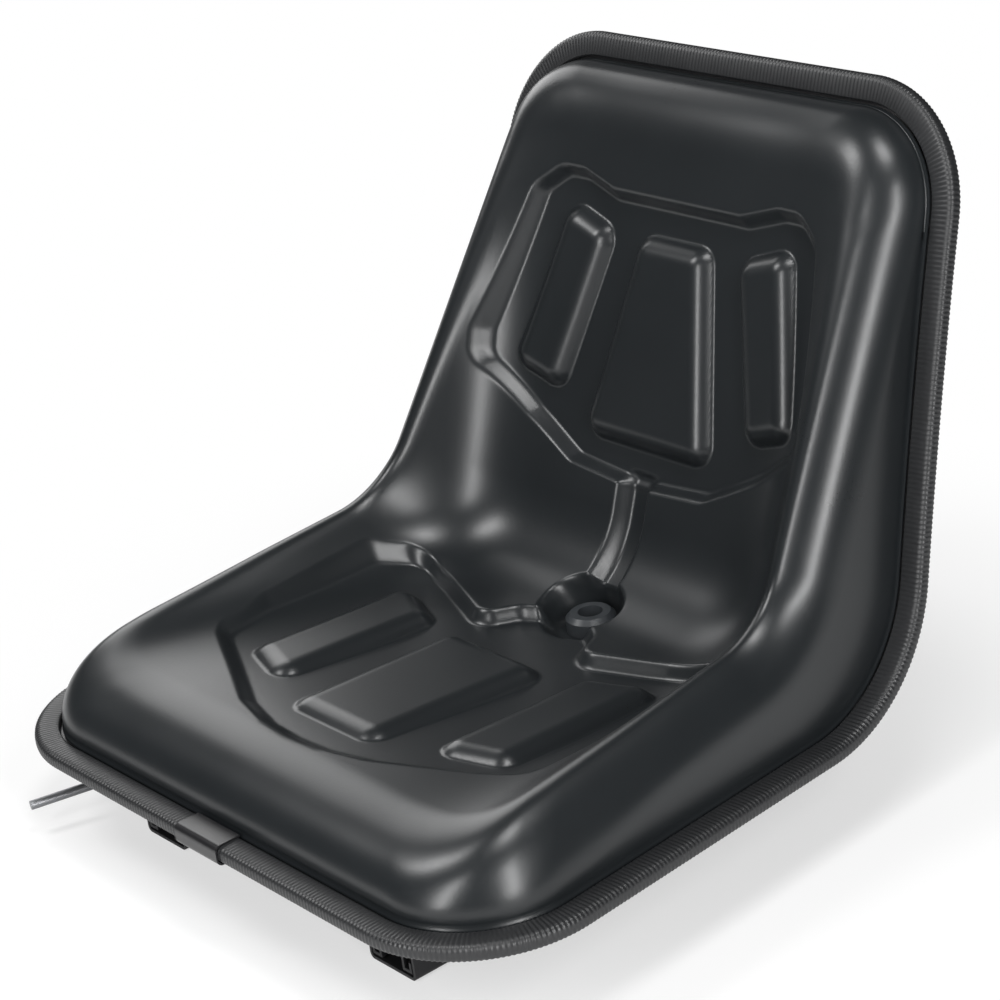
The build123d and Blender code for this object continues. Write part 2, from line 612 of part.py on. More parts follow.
PARTS = {
    "seat_cushion": seat_cushion(),
    "seat_pan": seat_pan(),
    "edge_trim": edge_trim(),
    "trim_joint_sleeve": trim_joint_sleeve(),
    "drain_bush": drain_bush(),
    "left_lower_rail": left_lower,
    "right_lower_rail": lower_rail(RIGHT_X),
    "stop_studs": stop_studs(),
    "left_upper_rail": upper_rail(LEFT_X) - pivot_hole(),
    "right_upper_rail": upper_rail(RIGHT_X),
    "left_rail_glides": rail_glides(LEFT_X),
    "right_rail_glides": rail_glides(RIGHT_X),
    "seat_bolts": seat_bolts(),
    "bolt_washers": rings(WASHER_OD, BOLT_HOLE, UPPER_TOP_Z - RAIL_SHEET - WASHER_TALL, WASHER_TALL),
    "rail_spacers": rings(SPACER_OD, BOLT_HOLE, UPPER_TOP_Z, PAN_FLOOR_Z - UPPER_TOP_Z),
    "pan_weld_nuts": pan_weld_nuts(),
    "release_lever": release_lever(),
    "latch_plate": latch_plate(),
    "pivot_clip": pivot_clip(),
    "return_spring": return_spring(),
}

os.makedirs("parts", exist_ok=True)
for node, shape in PARTS.items():
    solid = Compound(children=shape) if isinstance(shape, list) else shape
    export_step(solid, f"parts/{node}.step")
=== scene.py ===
"""Garden tractor seat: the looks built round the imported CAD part, in the part's own frame, in metres.

+X is to the sitter's left, +Y to the rear and +Z up. The rim of the pan is a sheet bent about X: places on it are given as s,
the way along it from the front edge, and h, the height above it on the sitter's side. Sizes in the classes are millimetres.
"""

import json
import logging
import math
from dataclasses import dataclass
from enum import Enum

import bpy
import numpy as np
from mathutils import Matrix, Vector

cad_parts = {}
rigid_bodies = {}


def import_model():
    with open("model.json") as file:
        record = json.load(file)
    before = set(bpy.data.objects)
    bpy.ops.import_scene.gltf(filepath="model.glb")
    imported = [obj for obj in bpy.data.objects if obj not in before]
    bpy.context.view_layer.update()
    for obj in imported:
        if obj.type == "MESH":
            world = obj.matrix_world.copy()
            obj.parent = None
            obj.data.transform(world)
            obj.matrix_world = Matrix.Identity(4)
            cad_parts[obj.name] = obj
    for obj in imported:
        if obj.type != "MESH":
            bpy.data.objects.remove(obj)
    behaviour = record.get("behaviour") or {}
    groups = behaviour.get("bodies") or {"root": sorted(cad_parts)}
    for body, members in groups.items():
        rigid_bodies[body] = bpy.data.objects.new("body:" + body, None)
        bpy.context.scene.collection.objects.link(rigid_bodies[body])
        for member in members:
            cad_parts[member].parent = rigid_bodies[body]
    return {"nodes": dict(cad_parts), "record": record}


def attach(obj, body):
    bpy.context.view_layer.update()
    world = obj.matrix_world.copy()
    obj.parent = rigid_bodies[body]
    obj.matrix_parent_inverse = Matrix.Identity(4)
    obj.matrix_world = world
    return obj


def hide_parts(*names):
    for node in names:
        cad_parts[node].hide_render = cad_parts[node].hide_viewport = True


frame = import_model()

LOG = logging.getLogger("tractor_seat")
MM = 0.001

Points = np.ndarray
Colour = tuple[float, float, float]
Outline = tuple[tuple[float, float], ...]
WELD_GAP = 0.00002


class Slot(Enum):
    """The record's material slots."""

    VINYL = "vinyl"
    PAN = "pan_paint"
    TRIM = "trim_pvc"
    SLEEVE = "sleeve_plastic"
    BUSH = "bush_plastic"
    RAIL = "rail_paint"
    GLIDE = "glide_nylon"
    ZINC = "zinc"
    SPRING = "spring_steel"


class Body(Enum):
    """The CAD bodies that new pieces ride on."""

    SEAT = "seat"


# Shader maths


class Sock:
    """One output of a node, or a number, that Python's operators turn into Math nodes."""

    def __init__(self, book: "NodeBook", socket: bpy.types.NodeSocket) -> None:
        """Keeps the socket and the graph that it belongs to.

        Args:
            book: the graph that new nodes are added to.
            socket: the node output to wrap.
        """
        self.book = book
        self.socket = socket

    def _with(self, operation: str, first: object, second: object) -> "Sock":
        """Adds one Math node.

        Args:
            operation: the Math node's operation.
            first: its first value or link.
            second: its second value or link.

        Returns:
            The Math node's result.
        """
        return self.book.node("ShaderNodeMath", {"operation": operation}, {0: first, 1: second}).out("Value")

    def __add__(self, other: object) -> "Sock":
        """Sum."""
        return self._with("ADD", self, other)

    def __radd__(self, other: object) -> "Sock":
        """Sum, the other way round."""
        return self._with("ADD", other, self)

    def __sub__(self, other: object) -> "Sock":
        """Difference."""
        return self._with("SUBTRACT", self, other)

    def __rsub__(self, other: object) -> "Sock":
        """Difference, the other way round."""
        return self._with("SUBTRACT", other, self)

    def __mul__(self, other: object) -> "Sock":
        """Product."""
        return self._with("MULTIPLY", self, other)

    def __rmul__(self, other: object) -> "Sock":
        """Product, the other way round."""
        return self._with("MULTIPLY", other, self)

    def most(self, other: object) -> "Sock":
        """The larger of the two."""
        return self._with("MAXIMUM", self, other)


class Made:
    """A node just added, with its outputs by name."""

    def __init__(self, book: "NodeBook", node: bpy.types.Node) -> None:
        """Keeps the node and its graph."""
        self.book = book
        self.node = node

    def out(self, name: str | int) -> Sock:
        """One output, by name or place."""
        return Sock(self.book, self.node.outputs[name])


class NodeBook:
    """A material's or world's node graph."""

    def __init__(self, owner: bpy.types.ID) -> None:
        """Empties the owner's graph.

        Args:
            owner: the material or world.
        """
        owner.use_nodes = True
        self.tree = owner.node_tree
        self.tree.nodes.clear()

    def node(
        self, kind: str, settings: dict[str, object] | None = None, inputs: dict[str | int, object] | None = None
    ) -> Made:
        """Adds one node of any type.

        Args:
            kind: the node's type.
            settings: its own properties, set first.
            inputs: the values or links of its sockets, by name or place.

        Returns:
            The node made.
        """
        made = self.tree.nodes.new(kind)
        for name, value in (settings or {}).items():
            if name == "stops":
                self._set_stops(made.color_ramp, value)
            else:
                setattr(made, name, value)
        for name, value in (inputs or {}).items():
            if isinstance(value, Sock):
                self.tree.links.new(value.socket, made.inputs[name])
            elif value is not None:
                made.inputs[name].default_value = value
        return Made(self, made)

    @staticmethod
    def _set_stops(ramp: bpy.types.ColorRamp, stops: list[tuple[float, float]]) -> None:
        """Sets a ramp's grey stops, as (place, value)."""
        while len(ramp.elements) < len(stops):
            ramp.elements.new(0.5)
        for element, (place, value) in zip(ramp.elements, stops):
            element.position = place
            element.color = (value, value, value, 1.0)

    def objects(self) -> Sock:
        """Object coordinates."""
        return self.node("ShaderNodeTexCoord").out("Object")

    def noise(self, scale: float, detail: float = 3.0, where: Sock | None = None) -> Sock:
        """Smooth noise from 0 to 1.

        Args:
            scale: how many lumps to the metre.
            detail: octaves.
            where: coordinates, the object's own if left out.

        Returns:
            The noise's value.
        """
        inputs = {"Vector": where or self.objects(), "Scale": scale, "Detail": detail, "Roughness": 0.55}
        return self.node("ShaderNodeTexNoise", {"noise_dimensions": "3D"}, inputs).out(0)

    def cells(self, scale: float, smooth: float = 0.4) -> Sock:
        """Distance to the nearest of scattered points: the pebbles of a grain."""
        settings = {"feature": "SMOOTH_F1", "distance": "EUCLIDEAN"}
        inputs = {"Vector": self.objects(), "Scale": scale, "Smoothness": smooth}
        return self.node("ShaderNodeTexVoronoi", settings, inputs).out("Distance")

    def mix(self, factor: Sock, first: Colour, second: Colour) -> Sock:
        """Colour between two.

        Args:
            factor: 0 for the first, 1 for the second.
            first: first colour.
            second: second colour.

        Returns:
            The mixed colour.
        """
        settings = {"data_type": "RGBA", "blend_type": "MIX"}
        return self.node("ShaderNodeMix", settings, {0: factor, 6: (*first, 1.0), 7: (*second, 1.0)}).out(2)

    def bump(self, height: Sock, strength: float, depth_mm: float) -> Sock:
        """Normal from a height.

        Args:
            height: the height, from 0 to 1.
            strength: share of the effect.
            depth_mm: how deep a height of 1 is.

        Returns:
            The bent normal.
        """
        inputs = {"Strength": strength, "Distance": depth_mm * MM, "Height": height}
        return self.node("ShaderNodeBump", None, inputs).out("Normal")

    def surface(self, **inputs: object) -> None:
        """Ends the graph with a Principled shader, whose sockets are given with _ for a space."""
        named = {name.replace("_", " "): value for name, value in inputs.items()}
        shader = self.node("ShaderNodeBsdfPrincipled", None, named).out("BSDF")
        self.node("ShaderNodeOutputMaterial", None, {"Surface": shader})


# Finishes


@dataclass(frozen=True)
class VinylSkin:
    """Satin black moulded skin with a fine pebbled grain."""

    dark: Colour = (0.0085, 0.0100, 0.0112)
    light: Colour = (0.0125, 0.0146, 0.0162)
    gloss_rough: float = 0.30
    grain_per_m: float = 620.0

    def material(self) -> bpy.types.Material:
        """The finish as a material."""
        made = bpy.data.materials.new("vinyl_skin")
        book = NodeBook(made)
        patches = book.noise(9.0, 4.0)
        grain = book.cells(self.grain_per_m) * 0.7 + book.noise(1500.0, 2.0) * 0.3
        rough = self.gloss_rough + (patches - 0.5) * 0.10 + (grain - 0.4) * 0.05
        book.surface(
            Base_Color=book.mix(patches, self.dark, self.light),
            Roughness=rough,
            Specular_IOR_Level=0.5,
            Normal=book.bump(grain, 0.16, 0.12),
        )
        return made


@dataclass(frozen=True)
class SatinPaint:
    """Paint on steel, with a faint orange peel."""

    name: str
    colour: Colour
    rough: float = 0.38

    def material(self) -> bpy.types.Material:
        """The finish as a material."""
        made = bpy.data.materials.new(self.name)
        book = NodeBook(made)
        patches = book.noise(22.0, 4.0)
        lighter = tuple(channel * 1.35 for channel in self.colour)
        book.surface(
            Base_Color=book.mix(patches, self.colour, lighter),
            Roughness=self.rough + (patches - 0.5) * 0.16,
            Specular_IOR_Level=0.5,
            Normal=book.bump(book.noise(420.0, 2.0), 0.12, 0.08),
        )
        return made


@dataclass(frozen=True)
class Plastic:
    """Moulded or extruded plastic."""

    name: str
    colour: Colour
    rough: float
    grain: float = 0.10

    def material(self) -> bpy.types.Material:
        """The finish as a material."""
        made = bpy.data.materials.new(self.name)
        book = NodeBook(made)
        patches = book.noise(40.0, 4.0)
        lighter = tuple(channel * 1.25 for channel in self.colour)
        book.surface(
            Base_Color=book.mix(patches, self.colour, lighter),
            Roughness=self.rough + (patches - 0.5) * 0.12,
            Specular_IOR_Level=0.5,
            Normal=book.bump(book.noise(900.0, 2.0), self.grain, 0.06),
        )
        return made


@dataclass(frozen=True)
class Plated:
    """Zinc plate or oiled wire: bare metal with a cloudy gloss."""

    name: str
    colour: Colour
    rough: float

    def material(self) -> bpy.types.Material:
        """The finish as a material."""
        made = bpy.data.materials.new(self.name)
        book = NodeBook(made)
        cloud = book.noise(60.0, 5.0)
        darker = tuple(channel * 0.72 for channel in self.colour)
        book.surface(
            Base_Color=book.mix(cloud, darker, self.colour),
            Metallic=1.0,
            Roughness=self.rough + (cloud - 0.5) * 0.22,
            Normal=book.bump(book.noise(700.0, 3.0), 0.10, 0.05),
        )
        return made


# The bent sheet that everything above the rails follows


@dataclass(frozen=True)
class RimSheet:
    """The rim of the pan as a bent sheet, with its outline."""

    front_y: float = -180.0
    rim_z: float = 60.0
    width: float = 475.0
    top_width: float = 393.0
    front_corner: float = 80.0
    top_corner: float = 76.0
    seat_run: float = 289.0
    bend_radius: float = 97.0
    back_angle: float = math.radians(74.0)
    back_run: float = 281.0
    bow: float = math.radians(5.0)
    corner_points: int = 80

    @property
    def bend_y(self) -> float:
        """Where the flat seat run ends."""
        return self.front_y + self.seat_run

    @property
    def bend_length(self) -> float:
        """Length of the bend along the sheet."""
        return self.bend_radius * self.back_angle

    @property
    def bow_radius(self) -> float:
        """Radius of the back's slight bow."""
        return self.back_run / self.bow

    @property
    def length(self) -> float:
        """Length of the sheet from the front edge to the top edge."""
        return self.seat_run + self.bend_length + self.back_run

    @property
    def taper(self) -> float:
        """How fast half the width shrinks along the sheet."""
        return (self.width - self.top_width) / 2 / (self.length - self.front_corner - self.top_corner)

    @property
    def lean(self) -> float:
        """How fast the side walls lean in with height."""
        chord = self.back_angle - self.bow / 2
        return self.taper * (1 - math.cos(chord)) / math.sin(chord)

    @property
    def bow_centre(self) -> tuple[float, float]:
        """Centre of the back's bow in the side view, as (y, z)."""
        reach = self.bend_radius + self.bow_radius
        y = self.bend_y + reach * math.sin(self.back_angle)
        return y, self.rim_z + self.bend_radius - reach * math.cos(self.back_angle)

    def half_width(self, s: Points) -> Points:
        """Half the rim's width at s, corners left out."""
        return self.width / 2 + self.taper * (self.front_corner - s)

    def side(self, s: Points, h: Points) -> tuple[Points, Points]:
        """Side-view place of points on the sheet.

        Args:
            s: way along the sheet.
            h: height above it.

        Returns:
            y and z.
        """
        turn = np.clip((s - self.seat_run) / self.bend_radius, 0.0, self.back_angle)
        arm = self.bend_radius - h
        y = self.front_y + np.minimum(s, self.seat_run) + arm * np.sin(turn)
        z = self.rim_z + self.bend_radius - arm * np.cos(turn)
        swing = self.back_angle - (s - self.seat_run - self.bend_length) / self.bow_radius
        centre = self.bow_centre
        back = s > self.seat_run + self.bend_length
        y = np.where(back, centre[0] - (self.bow_radius + h) * np.sin(swing), y)
        return y, np.where(back, centre[1] + (self.bow_radius + h) * np.cos(swing), z)

    def lift(self, x: Points, s: Points, h: Points) -> Points:
        """Points in the row frame, in millimetres.

        Args:
            x: place across the sheet, as measured on it.
            s: way along it.
            h: height above it.

        Returns:
            An array of x, y and z.
        """
        return self.placed(x, s, *self.side(s, h))

    def placed(self, x: Points, s: Points, y: Points, z: Points) -> Points:
        """Points in the row frame from their side-view places, drawn in as the sides lean.

        Args:
            x: place across the sheet, as measured on it.
            s: way along it.
            y: place in the side view.
            z: height in the side view.

        Returns:
            An array of x, y and z.
        """
        real = self.width / 2 + self.taper * (self.front_corner - (y - self.front_y)) - self.lean * (z - self.rim_z)
        return np.stack([x * real / self.half_width(s), y, z], axis=-1)

    def tilt(self, s: Points) -> Points:
        """Angle between the sheet's own direction of height and straight up."""
        bent = np.clip((s - self.seat_run) / self.bend_radius, 0.0, self.back_angle)
        return bent - np.maximum(s - self.seat_run - self.bend_length, 0.0) / self.bow_radius

    def outline(self) -> tuple[Points, Points]:
        """The rim's outline on the sheet, once round from the middle of the front edge towards +X.

        Returns:
            Points as x and s, close together, and the directions that point inwards there.
        """
        spots: list[tuple[float, float]] = []
        inward: list[tuple[float, float]] = []
        lean = math.atan(self.taper)

        def arc(centre: tuple[float, float], radius: float, start: float, end: float) -> None:
            """Adds an arc of the right half, angles from +X towards +s."""
            for angle in np.linspace(start, end, self.corner_points):
                spots.append((centre[0] + radius * math.cos(angle), centre[1] + radius * math.sin(angle)))
                inward.append((-math.cos(angle), -math.sin(angle)))

        front_x = self._corner_x(self.front_corner, self.front_corner, lean)
        top_s = self.length - self.top_corner
        top_x = self._corner_x(top_s, self.top_corner, lean)
        spots.append((0.0, 0.0))
        inward.append((0.0, 1.0))
        arc((front_x, self.front_corner), self.front_corner, -math.pi / 2, lean)
        arc((top_x, top_s), self.top_corner, lean, math.pi / 2)
        spots.append((0.0, self.length))
        inward.append((0.0, -1.0))
        right, to_right = np.array(spots), np.array(inward)
        flip = np.array([-1.0, 1.0])
        loop = np.vstack([right, right[-2:0:-1] * flip, right[:1]])
        turned = np.vstack([to_right, to_right[-2:0:-1] * flip, to_right[:1]])
        return loop, turned

    def _corner_x(self, s: float, radius: float, lean: float) -> float:
        """Centre of a corner's round that touches the leaning side."""
        return self.half_width(np.array(s)).item() - radius / math.cos(lean)

    def outline_at(self, fractions: Points) -> tuple[Points, Points]:
        """Points of the outline by the share of the way round.

        Args:
            fractions: shares from 0 to 1.

        Returns:
            Points as x and s, and the inward directions.
        """
        loop, turned = self.outline()
        steps = np.hypot(*np.diff(loop, axis=0).T)
        way = np.concatenate([[0.0], np.cumsum(steps)]) / steps.sum()
        spots = np.stack([np.interp(fractions, way, loop[:, k]) for k in (0, 1)], axis=-1)
        dirs = np.stack([np.interp(fractions, way, turned[:, k]) for k in (0, 1)], axis=-1)
        return spots, dirs / np.linalg.norm(dirs, axis=1, keepdims=True)

    def corner_shares(self) -> tuple[float, float]:
        """Shares of the way round at the middles of the front and the top corner on the +X side."""
        loop, _ = self.outline()
        steps = np.hypot(*np.diff(loop, axis=0).T)
        way = np.concatenate([[0.0], np.cumsum(steps)]) / steps.sum()
        return float(way[self.corner_points // 2 + 1]), float(way[self.corner_points + self.corner_points // 2 + 1])

    def outline_length(self) -> float:
        """Length of the outline."""
        return float(np.hypot(*np.diff(self.outline()[0], axis=0).T).sum())


def rounded_line(corners: list[tuple[float, float]], radii: list[float]) -> Points:
    """Side-view line through corners, the inner ones rounded.

    Args:
        corners: y and z of each corner.
        radii: radius at each inner corner.

    Returns:
        The line's points, close together on the rounds.
    """
    spots = [np.array(corners[0], float)]
    for before, corner, after, radius in zip(corners, corners[1:], corners[2:], radii):
        at = np.array(corner, float)
        back = np.array(before, float) - at
        ahead = np.array(after, float) - at
        back /= np.linalg.norm(back)
        ahead /= np.linalg.norm(ahead)
        half = math.acos(float(np.clip(back @ ahead, -1.0, 1.0))) / 2
        middle = (back + ahead) / np.linalg.norm(back + ahead)
        centre = at + middle * radius / math.sin(half)
        start = at + back * radius / math.tan(half) - centre
        end = at + ahead * radius / math.tan(half) - centre
        for share in np.linspace(0.0, 1.0, 240):
            arm = start * (1 - share) + end * share
            spots.append(centre + arm / np.linalg.norm(arm) * radius)
    return np.array([*spots, np.array(corners[-1], float)])


def soft_least(first: Points, second: Points, blend: float) -> Points:
    """The lower of two heights, rounded over where they meet.

    Args:
        first: one height.
        second: the other.
        blend: how near the two are where the rounding starts.

    Returns:
        The rounded lower height.
    """
    near = np.maximum(blend - np.abs(first - second), 0.0) / blend
    return np.minimum(first, second) - near**3 * blend / 6


def between_entries(table: Points, row: Points, column: Points) -> Points:
    """A table read between its entries.

    Args:
        table: the values.
        row: places down the table.
        column: places across it.

    Returns:
        The values there.
    """
    down = np.clip(row, 0.0, table.shape[0] - 1.001)
    over = np.clip(column, 0.0, table.shape[1] - 1.001)
    i, j = down.astype(int), over.astype(int)
    part, rest = over - j, down - i
    first = table[i, j] * (1 - part) + table[i, j + 1] * part
    second = table[i + 1, j] * (1 - part) + table[i + 1, j + 1] * part
    return first * (1 - rest) + second * rest


def ease(share: Points) -> Points:
    """Smooth step from 0 to 1."""
    held = np.clip(share, 0.0, 1.0)
    return held * held * (3 - 2 * held)


def rounded_outline(points: Outline, radius: float, steps: int = 9) -> Points:
    """Closed outline with its corners rounded.

    Args:
        points: the outline's corners.
        radius: radius of each corner, less where an edge is too short for it.
        steps: points to each round.

    Returns:
        The outline's points, several to each round.
    """
    corners = np.array(points, float)
    spots: list[Points] = []
    for before, at, after in zip(np.roll(corners, 1, axis=0), corners, np.roll(corners, -1, axis=0)):
        back, ahead = before - at, after - at
        room = 0.48 * min(np.linalg.norm(back), np.linalg.norm(ahead))
        back, ahead = back / np.linalg.norm(back), ahead / np.linalg.norm(ahead)
        half = math.acos(float(np.clip(back @ ahead, -1.0, 1.0))) / 2
        if half > 1.55:
            spots.append(at)
            continue
        held = min(radius, room * math.tan(half))
        middle = (back + ahead) / np.linalg.norm(back + ahead)
        centre = at + middle * held / math.sin(half)
        start, end = at + back * held / math.tan(half) - centre, at + ahead * held / math.tan(half) - centre
        for share in np.linspace(0.0, 1.0, steps):
            arm = start * (1 - share) + end * share
            spots.append(centre + arm / np.linalg.norm(arm) * held)
    return np.array(spots)


def outline_distance(x: Points, s: Points, outline: Points) -> Points:
    """Signed distance from points to a closed outline, below 0 inside.

    Args:
        x: place across.
        s: way along.
        outline: the outline's corners.

    Returns:
        The distances.
    """
    least = np.full(x.shape, 1e12)
    inside = np.zeros(x.shape, bool)
    for a, b in zip(outline, np.roll(outline, -1, axis=0)):
        edge = b - a
        share = np.clip(((x - a[0]) * edge[0] + (s - a[1]) * edge[1]) / max(edge @ edge, 1e-12), 0.0, 1.0)
        least = np.minimum(least, (x - a[0] - share * edge[0]) ** 2 + (s - a[1] - share * edge[1]) ** 2)
        spans = (a[1] > s) != (b[1] > s)
        rise = edge[1] if abs(edge[1]) > 1e-12 else 1e-12
        inside ^= spans & (x < a[0] + (s - a[1]) / rise * edge[0])
    return np.where(inside, -1.0, 1.0) * np.sqrt(least)


# Small helpers for operators


def deselect() -> None:
    """Leaves edit mode and selects nothing."""
    if bpy.context.mode != "OBJECT":
        bpy.ops.object.mode_set(mode="OBJECT")
    bpy.ops.object.select_all(action="DESELECT")


def pick(made: bpy.types.Object) -> None:
    """Selects one object and makes it the active one."""
    deselect()
    made.select_set(True)
    bpy.context.view_layer.objects.active = made


def grid_piece(name: str, columns: int, rows: int) -> tuple[bpy.types.Object, Points, Points]:
    """A flat grid to be shaped.

    Args:
        name: the object's name.
        columns: faces across.
        rows: faces along.

    Returns:
        The object, and each vertex's column and row.
    """
    deselect()
    bpy.ops.mesh.primitive_grid_add(x_subdivisions=columns, y_subdivisions=rows, size=1.0)
    made = bpy.context.object
    made.name = name
    flat = vertex_array(made)
    across = np.rint((flat[:, 0] + 0.5) * columns).astype(int)
    along = np.rint((flat[:, 1] + 0.5) * rows).astype(int)
    return made, across, along


def vertex_array(made: bpy.types.Object) -> Points:
    """An object's vertices as an array."""
    flat = np.zeros(len(made.data.vertices) * 3)
    made.data.vertices.foreach_get("co", flat)
    return flat.reshape(-1, 3)


def set_vertices(made: bpy.types.Object, spots_mm: Points) -> None:
    """Moves an object's vertices to places given in millimetres."""
    made.data.vertices.foreach_set("co", (spots_mm * MM).ravel())
    made.data.update()


def outward(made: bpy.types.Object) -> None:
    """Turns a closed piece's faces outwards."""
    pick(made)
    bpy.ops.object.mode_set(mode="EDIT")
    bpy.ops.mesh.select_all(action="SELECT")
    bpy.ops.mesh.normals_make_consistent(inside=False)
    bpy.ops.object.mode_set(mode="OBJECT")


def dress(made: bpy.types.Object, finish: bpy.types.Material, slot: Slot, body: Body | None = None) -> None:
    """Gives a piece its finish and body, and logs the record's slot for it.

    Args:
        made: the piece.
        finish: its material.
        slot: the record's slot.
        body: the CAD body it rides on, left out for a CAD node, which has one.
    """
    made.data.materials.clear()
    made.data.materials.append(finish)
    if body is not None:
        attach(made, body.value)
    LOG.info("%s: %d faces, %s", made.name, len(made.data.polygons), slot.value)


# Sub-assemblies


@dataclass
class Cushion:
    """The one-piece moulded bucket: bolsters, pressed pads, drain channel and skirt."""

    sheet: RimSheet
    finish: VinylSkin = VinylSkin()
    columns: int = 264
    rows: int = 408
    coarse: int = 4
    skirt_inset: float = 15.5
    roll_side: float = 37.0
    roll_front: float = 54.0
    roll_top: float = 44.0
    roll_drop: float = 34.0
    patch_corner: float = 34.0
    patch_steps: int = 49
    roll_steps: int = 27
    roll_front_s: tuple[float, float] = (40.0, 190.0)
    front_foot: float = 8.5
    crest_front: float = 45.0
    crest_bend: float = 76.0
    crest_backset: float = 8.0
    crest_top: float = 40.0
    crest_top_down: float = 72.0
    crest_radius: float = 66.0
    floor_front: float = 42.0
    floor_ahead: float = 36.0
    floor_bend: float = 27.0
    floor_top: float = 31.0
    floor_top_down: float = 45.0
    floor_run_out: float = 22.0
    floor_radius: float = 70.0
    top_radius: float = 150.0
    lid_blend: float = 14.0
    floor_half: float = 100.0
    crest_inset: float = 36.0
    gentle: tuple[float, float] = (0.5, 1.5)
    steep: tuple[float, float] = (0.5, 3.6)
    recess: float = 9.0
    recess_front: float = 0.5
    recess_deepens: tuple[float, float] = (80.0, 220.0)
    recess_wall: float = 10.0
    recess_corner: float = 16.0
    pad_round: float = 15.0
    pad_crown: float = 2.4
    pad_corner: float = 13.0
    channel_half: float = 16.0
    channel_wall: float = 11.0
    channel_depth: float = 10.0
    channel_top_down: float = 262.0
    channel_ends: tuple[float, float] = (6.0, 16.0)
    drain_s: float = 300.0
    drain_bowl: float = 33.0
    drain_slope: float = 13.0
    drain_edge: float = 1.4
    drain_floor: float = 11.7
    drain_stem: float = 11.4
    pan_depth: float = 22.7
    pan_gap: float = 0.5
    pan_inset: float = 28.0
    lip: Outline = ((15.6, 6.0), (15.4, 4.6), (15.1, 3.7), (14.8, 3.1), (14.6, 2.4), (14.8, 1.2), (15.6, 0.5), (22.0, 0.4))
    pan_round: float = 12.0
    nut_places: tuple[tuple[float, float], ...] = ((115.0, 105.0), (115.0, 255.0))
    nut_room: float = 10.5
    nut_reach: float = 24.0
    nut_slope: float = 8.0
    under_inset: float = 52.0
    overrun: float = 60.0
    station_step: float = 0.5
    fan: int = 91
    fan_ends: float = 400.0
    dish_lines: int = 41
    deepest_drop: float = 46.0
    back_recess: Outline = (
        (0, 95), (58, 95), (88, 86), (106, 86), (124, 100), (146, 196), (145, 214), (104, 243), (60, 267), (14, 271),
    )
    back_centre: Outline = ((0, 116), (31, 116), (58, 248), (0, 248))
    back_side: Outline = ((56, 118), (100, 104), (127, 214), (85, 227))
    seat_recess: Outline = (
        (0, 72), (28, 74), (62, 83), (114, 109), (154, 128), (162, 170),
        (160, 255), (142, 286), (105, 275), (46, 250), (34, 276), (18, 286),
    )
    seat_centre: Outline = ((0, 98), (41, 98), (45, 228), (0, 228))
    seat_side: Outline = ((75, 114), (126, 130), (124, 257), (72, 235))

    def __post_init__(self) -> None:
        """Tabulates the bucket's side-view lines as heights above the sheet, a column for each station along it."""
        self.stations = np.arange(-self.overrun, self.sheet.length + self.overrun, self.station_step)
        ways = np.arange(-self.fan_ends, self.sheet.length + self.fan_ends)
        window = np.ones(self.fan) / self.fan
        tilts = np.convolve(np.convolve(self.sheet.tilt(ways), window, "same"), window, "same")
        self.tilts = np.interp(self.stations, ways, tilts)
        self.dish_table = np.array([self._line(share, 0.0) for share in np.linspace(0.0, 1.0, self.dish_lines)])
        self.roll_table = np.array([self._line(1.0, drop) for drop in np.arange(0.0, self.deepest_drop, 1.0)])

    def _spot(self, s: float, h: float) -> Points:
        """Side-view place of one point of the sheet."""
        return np.array(self.sheet.side(np.array(s), np.array(h)), float)

    def _line(self, share: float, drop: float) -> Points:
        """Heights along one side-view line of the bucket.

        Args:
            share: 0 for the line down the middle, 1 for the bolsters' tops.
            drop: how far the line is sunk square to itself.

        Returns:
            The line's height above the sheet at each station.
        """
        sheet = self.sheet
        rise = (self.crest_bend - self.crest_front) / (sheet.seat_run - self.crest_backset)
        fall = (self.floor_front - self.floor_bend) / (sheet.seat_run + self.floor_ahead)
        crest = [
            self._spot(-self.overrun, self.crest_front - self.overrun * rise),
            np.array((sheet.bend_y - self.crest_backset, sheet.rim_z + self.crest_bend)),
            self._spot(sheet.length - self.crest_top_down, self.crest_top),
            self._spot(sheet.length + self.overrun, self.crest_top),
        ]
        floor = [
            self._spot(-self.overrun, self.floor_front + self.overrun * fall),
            np.array((sheet.bend_y + self.floor_ahead, sheet.rim_z + self.floor_bend)),
            self._spot(sheet.length - self.floor_top_down, self.floor_top),
            self._spot(sheet.length + self.overrun, self.floor_top + self.floor_run_out),
        ]
        top_angle = sheet.back_angle - sheet.bow
        rear = np.array((math.sin(top_angle), -math.cos(top_angle)))
        moves = [np.array((0.0, -1.0)), np.array((math.tan((sheet.back_angle - sheet.bow / 2) / 2), -1.0)), rear, rear]
        corners = [low + (high - low) * share + move * drop for low, high, move in zip(floor, crest, moves)]
        bend = self.floor_radius + (self.crest_radius - self.floor_radius) * share + drop
        line = rounded_line(corners, [bend, self.top_radius])
        feet = np.stack(sheet.side(self.stations, np.zeros(len(self.stations))), axis=-1)
        heights = []
        for foot, tilt in zip(feet, self.tilts):
            arms = line - foot
            past = arms @ np.array((math.cos(tilt), math.sin(tilt)))
            heights.append(np.interp(0.0, past, arms @ np.array((-math.sin(tilt), math.cos(tilt)))))
        return np.array(heights)

    def lift(self, x: Points, s: Points, h: Points) -> Points:
        """Points of the bucket in the row frame: heights fan out over more of the sheet than its bend.

        Args:
            x: place across the sheet.
            s: way along it.
            h: height above it.

        Returns:
            An array of x, y and z.
        """
        y, z = self.sheet.side(s, np.zeros(s.shape))
        tilt = np.interp(s, self.stations, self.tilts)
        return self.sheet.placed(x, s, y - h * np.sin(tilt), z + h * np.cos(tilt))

